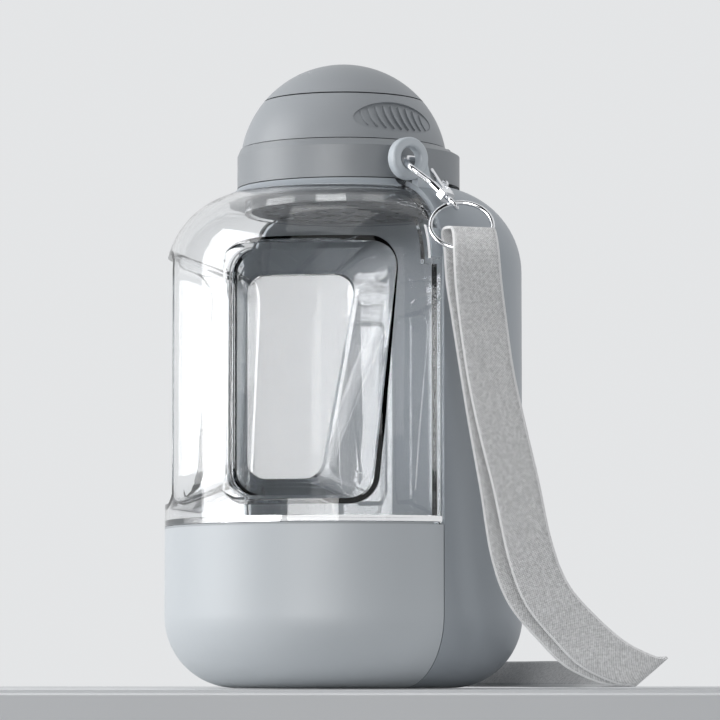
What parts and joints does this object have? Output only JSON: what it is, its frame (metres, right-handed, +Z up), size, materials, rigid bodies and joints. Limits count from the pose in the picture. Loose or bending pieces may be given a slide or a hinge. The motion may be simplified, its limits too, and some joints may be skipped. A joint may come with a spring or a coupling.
{
  "type": "travel water bottle with feeding bowl",
  "caption": "Clear-fronted travel water bottle for a dog with a slide-off food bowl, a rear shell that serves as a water trough, a screw cap with a flip dome, and a webbing strap.",
  "frame": {"origin": "centre of the flat base, on the body axis", "axes": "+Z up, -Y to the front where the bowl and the grip are, +X to the side with the strap lug"},
  "size_m": [0.2102, 0.16, 0.2663],
  "materials": {
    "clear_body": "clear, glossy",
    "cap_grey": "satin",
    "lug_grey": "satin",
    "bowl_grey": "satin",
    "seal_grey": "matt",
    "shell_grey": "satin",
    "hook_chrome": "bright",
    "webbing_grey": "woven",
    "inner_grey": "satin",
    "pin_steel": "bright"
  },
  "bodies": {
    "tank": {"tank": "clear_body", "tank_back": "clear_body", "neck": "clear_body", "neck_skirt": "cap_grey", "runner_right": "bowl_grey", "runner_left": "bowl_grey"},
    "bowl": {"food_bowl": "bowl_grey", "bowl_seal": "seal_grey"},
    "trough": {"back_shell": "shell_grey", "strap_lug": "lug_grey", "clip_right": "shell_grey", "clip_left": "shell_grey", "clasp_hook": "hook_chrome", "gate_pin": "hook_chrome", "swivel": "hook_chrome", "strap_ring": "hook_chrome", "webbing": "webbing_grey"},
    "gate": {"clasp_gate": "hook_chrome"},
    "washer": {"cap_washer": "seal_grey"},
    "cap": {"cap_collar": "cap_grey", "cap_seal": "seal_grey", "strainer": "inner_grey", "dome_pin": "pin_steel"},
    "dome": {"dome_band": "cap_grey", "dome_lip": "cap_grey", "dome_seal": "seal_grey", "spout": "cap_grey", "top_pin": "pin_steel"},
    "top_lid": {"dome_top": "cap_grey"}
  },
  "joints": [
    {"name": "bowl_slide", "type": "slide", "parent": "tank", "child": "bowl", "axis": [0, -1, 0], "range_m": [0, 0.09]},
    {"name": "trough_slide", "type": "slide", "parent": "tank", "child": "trough", "axis": [0, 1, 0], "range_m": [0, 0.12]},
    {"name": "cap_turn", "type": "hinge", "parent": "tank", "child": "washer", "pos_m": [0, 0.0025, 0.2235], "axis": [0, 0, 1], "range_deg": [0, 450]},
    {"name": "cap_lift", "type": "slide", "parent": "washer", "child": "cap", "axis": [0, 0, 1], "range_m": [0, 0.0046]},
    {"name": "dome_flip", "type": "hinge", "parent": "cap", "child": "dome", "pos_m": [0, 0.0445, 0.2295], "axis": [-1, 0, 0], "range_deg": [0, 105]},
    {"name": "top_flip", "type": "hinge", "parent": "dome", "child": "top_lid", "pos_m": [0, 0.03236, 0.25039], "axis": [-1, 0, 0], "range_deg": [0, 95]},
    {"name": "gate_pivot", "type": "hinge", "parent": "trough", "child": "gate", "pos_m": [0.06787, 0.00528, 0.20544], "axis": [0.6099, 0.2459, 0.7534], "range_deg": [0, 6], "stiffness_Nm_per_rad": 0.002, "springref_deg": -17.19}
  ],
  "couplings": [
    {"joint": "cap_lift", "follows": "cap_turn", "m_per_rad": 0.00055704}
  ]
}
